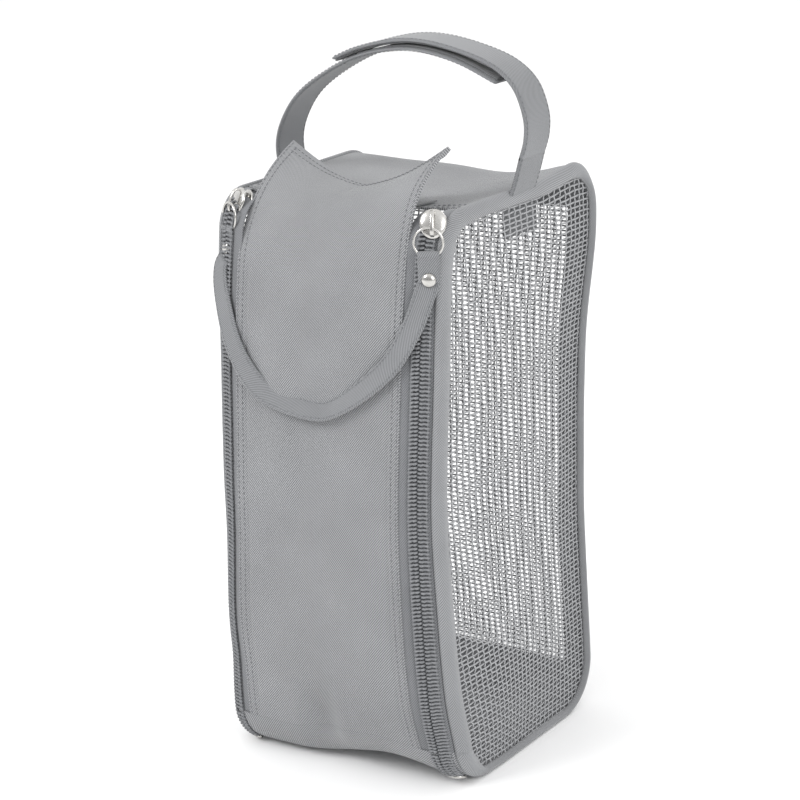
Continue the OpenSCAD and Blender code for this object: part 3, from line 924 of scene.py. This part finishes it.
def build_zip(word, side):
    """The outer half stays with the bag; the inner half goes with the front panel."""
    line = side * ZIP_X
    chain_top = S["front_top"] + 17.0
    low_end = -22.0
    inner = sorted((side * (PANEL_HALF - 1.5), line - side * 0.12))
    outer = sorted((line + side * 0.12, side * HALF_IN))
    tape_shell(f"{word}_inner_zip_tape", *inner, 0.6, S["top"] - 2, 150, -SKIN * 0.55, "front",
               [f"{word}_inner_tape"])
    tape_shell(f"{word}_outer_zip_tape", *outer, low_end, S["top"] + 3, 160, -0.2, "bag",
               [f"{word}_outer_tape"])
    tape_shell(f"{word}_lower_zip_tape", *inner, low_end, 0.3, 24, -SKIN * 0.55, "bag", [])
    teeth(f"{word}_inner_coil", line, -side, 0.6, chain_top, 0.0, "front", [f"{word}_inner_teeth"])
    teeth(f"{word}_outer_coil", line, side, low_end + 1, chain_top, 0.5, "bag", [f"{word}_outer_teeth"])
    teeth(f"{word}_lower_coil", line, -side, low_end + 1, 0.2, 0.0, "bag", [f"{word}_lower_zip"])


# ---- sliders, rings and pull strap

def placed(data, columns, origin):
    """Puts local geometry in the body frame; columns are the local x, y and z directions."""
    v, f, u = data
    return np.asarray(v) @ np.array(columns, float) + np.asarray(origin, float), f, u


def front_axes(tilt=0.0, yaw=0.0):
    """Local axes of a fitting: x across, y up the front and z outward, turned by yaw about +Z."""
    a = LEAN + tilt
    c, s = math.cos(yaw), math.sin(yaw)
    return [(c, s, 0), (-s * math.sin(a), c * math.sin(a), math.cos(a)),
            (s * math.cos(a), -c * math.cos(a), math.sin(a))]


SLIDER_TILT = math.radians(20)


def slider_outline(count=56):
    """Round at the top where the two rows enter, a little narrower below."""
    a = np.linspace(0, 2 * math.pi, count, endpoint=False)
    x = np.cos(a) * (7.0 + 0.6 * np.sin(a))
    y = np.sin(a) * 7.9
    return np.stack([x, y], -1)


def dome_plate(outline, levels):
    """A plate from one outline scaled and raised through (scale, height) levels."""
    rings = [np.concatenate([outline * k, np.full((len(outline), 1), h)], 1) for k, h in levels]
    verts = np.concatenate(rings)
    return verts, tube_faces(len(levels), len(outline)), np.zeros((len(verts), 2))


def fitting_place(side, below):
    """A point of the soft front over a zip, a distance below the middle of the closed slider."""
    low, high = node_box("right_slider_bridge")
    z = (low[2] + high[2]) / 2 + 2.0 - below
    x = ZIP_X + 1.0
    pulled = 0.0
    if side < 0:
        # The left fittings are pulled inward and back over the top corner
        pulled = 4.0 * (1 - smooth(below / 22))
        x -= 0.9 * pulled
    over_corner = max(0.0, (z - BODY_H + R_FRONT_TOP) * 0.35)
    return np.array([side * x, float(front_surface(x, z)) + over_corner + pulled, z])


RING_BELOW = {"left": 6.5, "right": 7.8}
RIVET_BELOW_RING = {"left": 17.5, "right": 19.0}


def build_slider(word, side):
    origin = fitting_place(side, 0.0)
    axes = front_axes(SLIDER_TILT, side * YAW)
    origin = origin + np.array(axes[2]) * 1.6
    outline = slider_outline()
    post = np.stack([np.array([-1, 1, 1, -1]) * 0.5, np.array([2, 2, 6, 6])], -1)
    body = joined([
        placed(dome_plate(outline, [(0.93, -0.1), (1.0, 0.25), (1.0, 0.9), (0.94, 1.35), (0.78, 1.8),
                                    (0.5, 2.15), (0.25, 2.3), (0.05, 2.35)]), axes, origin),
        placed(dome_plate(outline, [(0.9, -4.6), (1.0, -4.3), (1.0, -3.7), (0.94, -3.5)]), axes, origin),
        placed(dome_plate(post, [(1, -3.8), (1, 0.2)]), axes, origin)])
    make_mesh(f"{word}_slider_body", *body, body=f"{word}_slider", nodes=[f"{word}_slider"],
              slot="nickel_hardware")
    bar = [(0, 6.3, 1.2), (0, 6.4, 2.8), (0, 5.8, 4.3), (0, 3.6, 5.3), (0, 0, 5.6), (0, -3.6, 5.3),
           (0, -5.8, 4.3), (0, -6.4, 2.8), (0, -6.3, 1.2)]
    bridge = placed(sweep_data(catmull(bar, 44), (1, 0, 0), band_section(2.3, 1.2, across=5)), axes, origin)
    make_mesh(f"{word}_slider_bridge_bar", *bridge, body=f"{word}_slider",
              nodes=[f"{word}_slider_bridge"], slot="nickel_hardware")


def hanging_axes(side):
    """The ring and the end of the strap hang straight down and face outward with the zip."""
    return front_axes(math.radians(2), side * (YAW - math.radians(3)))


def build_ring(word, side):
    """The wire of a ring; its top passes between the slider's plate and its bridge."""
    radius, wire, across = 7.6, 0.68, 10
    axes = hanging_axes(side)
    middle = fitting_place(side, RING_BELOW[word]) + np.array(axes[2]) * 4.6
    a = np.linspace(0, 2 * math.pi, 72, endpoint=False)
    section = circle_section(wire, across)
    verts, faces = [], []
    for k, angle in enumerate(a):
        outward = np.array([math.cos(angle), math.sin(angle), 0])
        verts.extend(outward * (radius + s[0]) + np.array([0, 0, s[1]]) for s in section)
        for j in range(across):
            m, n = (j + 1) % across, (k + 1) % len(a)
            faces.append((k * across + j, n * across + j, n * across + m, k * across + m))
    data = placed((np.array(verts), faces, np.zeros((len(verts), 2))), axes, middle)
    make_mesh(f"{word}_pull_ring", *data, body="pull_strap", nodes=[f"{word}_ring"],
              slot="nickel_hardware")
    return middle


# The strap's middle line as (x, z); it lies on the soft front, turning its face up as it rounds the bend
STRAP_LINE = [(67, 281), (60.8, 262.5), (47, 241), (18, 218.5), (-2, 213.5), (-34, 220), (-53, 239.5),
              (-65, 264.5), (-68.5, 282)]
STRAP_W = 11.5


def build_pull_strap(rings):
    axes = {word: hanging_axes(side) for word, side in SIDES.items()}
    ends = {}
    for word in SIDES:
        down, out = -np.array(axes[word][1]), np.array(axes[word][2])
        steps = ((6.0, -0.9), (12.0, -0.8), (19.0, -0.4))
        ends[word] = [rings[word] + down * d + out * o for d, o in steps]
    middle = [(x, float(front_surface(x, z)) - 2.6, z) for x, z in STRAP_LINE]
    knots = ends["right"] + [np.array(q) for q in middle] + ends["left"][::-1]
    path = catmull(knots, 170)
    t = unit_rows(np.gradient(path, axis=0))
    u = np.linspace(0, 1, len(path))
    turn = bump(u, 0.5, 0.30)[:, None]
    lean_right = (1 - smooth(u / 0.25))[:, None] * np.array(axes["right"][2])
    lean_left = smooth((u - 0.75) / 0.25)[:, None] * np.array(axes["left"][2])
    flat = np.array([0.0, -1.0, 0.05]) * (1 - smooth((np.abs(u - 0.5) - 0.25) / 0.25))[:, None]
    facing = unit_rows((flat + lean_right + lean_left) * (1 - turn) + np.array([0.0, -0.75, 0.8]) * turn)
    side = unit_rows(np.cross(facing, t))
    up = unit_rows(np.cross(t, side))
    section = band_section(STRAP_W, 1.7, bulge=0.15, across=11)
    verts = path[:, None] + side[:, None] * section[None, :, :1] + up[:, None] * section[None, :, 1:]
    uv = np.stack(np.broadcast_arrays(section[None, :, 0], run_along(path)[:, None]), -1).reshape(-1, 2)
    parts = [(verts.reshape(-1, 3), tube_faces(len(path), len(section)), uv)]
    # The folded ends: round the ring's wire and down in front to a cut end behind the rivet
    fold = [(0, -20.5, 1.2), (0, -14.0, 1.1), (0, -9.0, 1.3), (0, -6.6, 1.9), (0, -5.2, 1.3),
            (0, -5.0, -0.2), (0, -6.2, -1.2), (0, -9.5, -0.9)]
    for word in SIDES:
        parts.append(placed(sweep_data(catmull(fold, 50), (1, 0, 0), band_section(STRAP_W, 1.3, across=9)),
                            axes[word], rings[word]))
    make_mesh("pull_strap_band", *joined(parts), body="pull_strap", nodes=["pull_strap"], slot="webbing")
    rows = []
    for edge in (-1, 1):
        for face in (-1, 1):
            line = path + side * (edge * (STRAP_W / 2 - 1.2)) + up * (face * 0.85)
            rows.append(stitch_data(line, up * face, pitch=2.6, length=1.9, radius=0.22))
    make_mesh("pull_strap_stitching", *joined(rows), material=THREAD, body="pull_strap", slot="webbing")


def build_rivet(word, side, ring_middle):
    axes = hanging_axes(side)
    place = ring_middle - np.array(axes[1]) * RIVET_BELOW_RING[word]
    dome = dome_plate(circle_section(1.0, 40), [(3.7, 0.0), (3.8, 0.4), (3.55, 0.95), (2.9, 1.5),
                                                (1.9, 1.9), (0.7, 2.1), (0.1, 2.12)])
    flipped = [axes[0], tuple(-a for a in axes[1]), tuple(-a for a in axes[2])]
    data = joined([placed(dome, axes, place + np.array(axes[2]) * 1.6),
                   placed(dome, flipped, place - np.array(axes[2]) * 1.3)])
    make_mesh(f"{word}_rivet_caps", *data, body="pull_strap", nodes=[f"{word}_rivet"],
              slot="nickel_hardware")


def build_fittings():
    rings = {}
    for word, side in SIDES.items():
        build_slider(word, side)
        rings[word] = build_ring(word, side)
        build_rivet(word, side, rings[word])
        line = np.stack([side * ZIP_X + np.linspace(-4.2, 4.2, 5),
                         *[np.full(5, q) for q in profile.at(-23.5, 0.9)]], -1)
        stop = sweep_data(soften(line), (0, 1, 0), band_section(2.6, 2.2, across=5))
        make_mesh(f"{word}_bottom_stop_clip", *stop, body="bag", nodes=[f"{word}_bottom_stop"],
                  slot="nickel_hardware")
    build_pull_strap(rings)


def build_top_stops():
    for kind, body, sign in (("outer", "bag", 1), ("inner", "front", -1)):
        parts = []
        for side in SIDES.values():
            x = side * ZIP_X + side * sign * np.linspace(0.5, 3.6, 4)
            y, z = profile.at(np.full(4, S["front_top"] + 19.0), 0.6)
            line = soften(np.stack([x, y, z], -1))
            parts.append(sweep_data(line, (0, 0.2, 1), band_section(2.2, 1.8, across=5)))
        make_mesh(f"{kind}_top_stop_clips", *joined(parts), body=body, nodes=[f"{kind}_top_stops"],
                  slot="nickel_hardware")


# ---- handle

HANDLE_Y = sum(node_box("handle_left_strap"))[1] / 2
HANDLE_W = node_box("handle_left_strap")[1][1] - node_box("handle_left_strap")[0][1]


def handle_line(points, count):
    """A centre line in the X-Z plane of the handle, given as (x, z)."""
    return catmull([(x, HANDLE_Y, z) for x, z in points], count)


def handle_band(path, thickness=1.7, width=HANDLE_W):
    return sweep_data(path, (0, -1, 0), band_section(width, thickness, bulge=0.15, across=13))


def edge_stitches(path):
    """Two rows of stitches, along both edges of a band lying across Y."""
    _, side, up = frames_along(path, (0, -1, 0))
    half = HANDLE_W / 2 - 1.6
    parts = []
    for edge in (-1, 1):
        for face in (-1, 1):
            parts.append(stitch_data(path + side * (edge * half) + up * (face * 0.9), up * face,
                                     pitch=2.8, length=2.0, radius=0.22))
    return joined(parts)


LOWER_STRAP = [(-73, 312), (-79, 323), (-80, 337), (-74.5, 351), (-63, 365), (-44, 377.5),
               (-22, 387.5), (2, 392.5), (22, 392.5), (45, 387.5), (68, 378)]
UPPER_STRAP = [(-37, 386), (-21, 392), (2, 397), (22, 397.5), (45, 393.5), (66, 386.5),
               (79, 376), (85, 361), (85, 349), (81.5, 338)]
RIGHT_ROOT = [(82, 339.5), (81.5, 338), (78, 327), (73, 314)]


def build_handle():
    lower = handle_line(LOWER_STRAP, 130)
    upper = handle_line(UPPER_STRAP, 130)
    root = handle_line(RIGHT_ROOT, 30)
    made = []
    for name, path, nodes in (("handle_lower_band", lower, ["handle_left_strap", "left_handle_anchor"]),
                              ("handle_upper_band", upper, ["handle_right_strap"]),
                              ("handle_right_root", root, ["right_handle_anchor"])):
        band = make_mesh(name, *handle_band(path), nodes=nodes, slot="webbing")
        thread = make_mesh(f"{name}_stitching", *edge_stitches(path), material=THREAD, slot="webbing")
        made.append((band, thread))
    for piece in made[0]:
        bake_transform(piece)
    for piece in made[1]:
        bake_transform(piece)
    for piece in made[2]:
        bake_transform(piece)
    # The two closing strips between the overlapping ends
    strip_low = handle_line([(x, z + 1.4) for x, z in LOWER_STRAP[6:]], 80)
    strip_up = handle_line([(x, z - 1.5) for x, z in UPPER_STRAP[:6]], 80)
    for name, path, node, body in (("handle_loop_pile", strip_low, "handle_loop_strip", "handle"),
                                   ("handle_hook_pile", strip_up, "handle_hook_strip", "handle_flap")):
        strip = handle_band(path, thickness=1.0, width=HANDLE_W - 5)
        make_mesh(name, *strip, body=body, nodes=[node], slot="hook_and_loop")


def build_small_patches():
    x = np.linspace(-PANEL_HALF + 8, PANEL_HALF - 8, 40)
    low, high = node_box("top_loop_patch")
    y = np.linspace(low[1], high[1], 12)
    for name, node, body, z in (("top_loop_pile", "top_loop_patch", "bag", low[2] + 0.5),
                                ("tongue_hook_pile", "tongue_hook_patch", "tongue", low[2] + 2.0)):
        xx, yy = np.meshgrid(x, y, indexing="ij")
        p = soften(np.stack([xx, yy, np.full_like(xx, z)], -1))
        uv = np.stack([xx, yy], -1)
        shell(name, p, uv, 0.8, body=body, nodes=[node], slot="hook_and_loop")
    for word, side in SIDES.items():
        low, high = node_box(f"{word}_inner_tab")
        y = np.linspace(low[1], high[1], 9)
        z = np.linspace(low[2], high[2], 9)
        yy, zz = np.meshgrid(y, z, indexing="ij")
        xx = np.full_like(yy, (low[0] + high[0]) / 2 - side * 1.0)
        p = soften(np.stack([xx, yy, zz], -1))
        shell(f"{word}_inner_tab_cloth", p, np.stack([yy, zz], -1), 1.4, body="bag",
              nodes=[f"{word}_inner_tab"], slot="webbing")


# ---- build it all

build_camera()
build_stage()
build_panels()
build_front_cloth()
for word, side in SIDES.items():
    build_binding(word, side)
    build_net(word, side)
    build_zip(word, side)
build_back_net()
build_fittings()
build_top_stops()
build_handle()
build_small_patches()
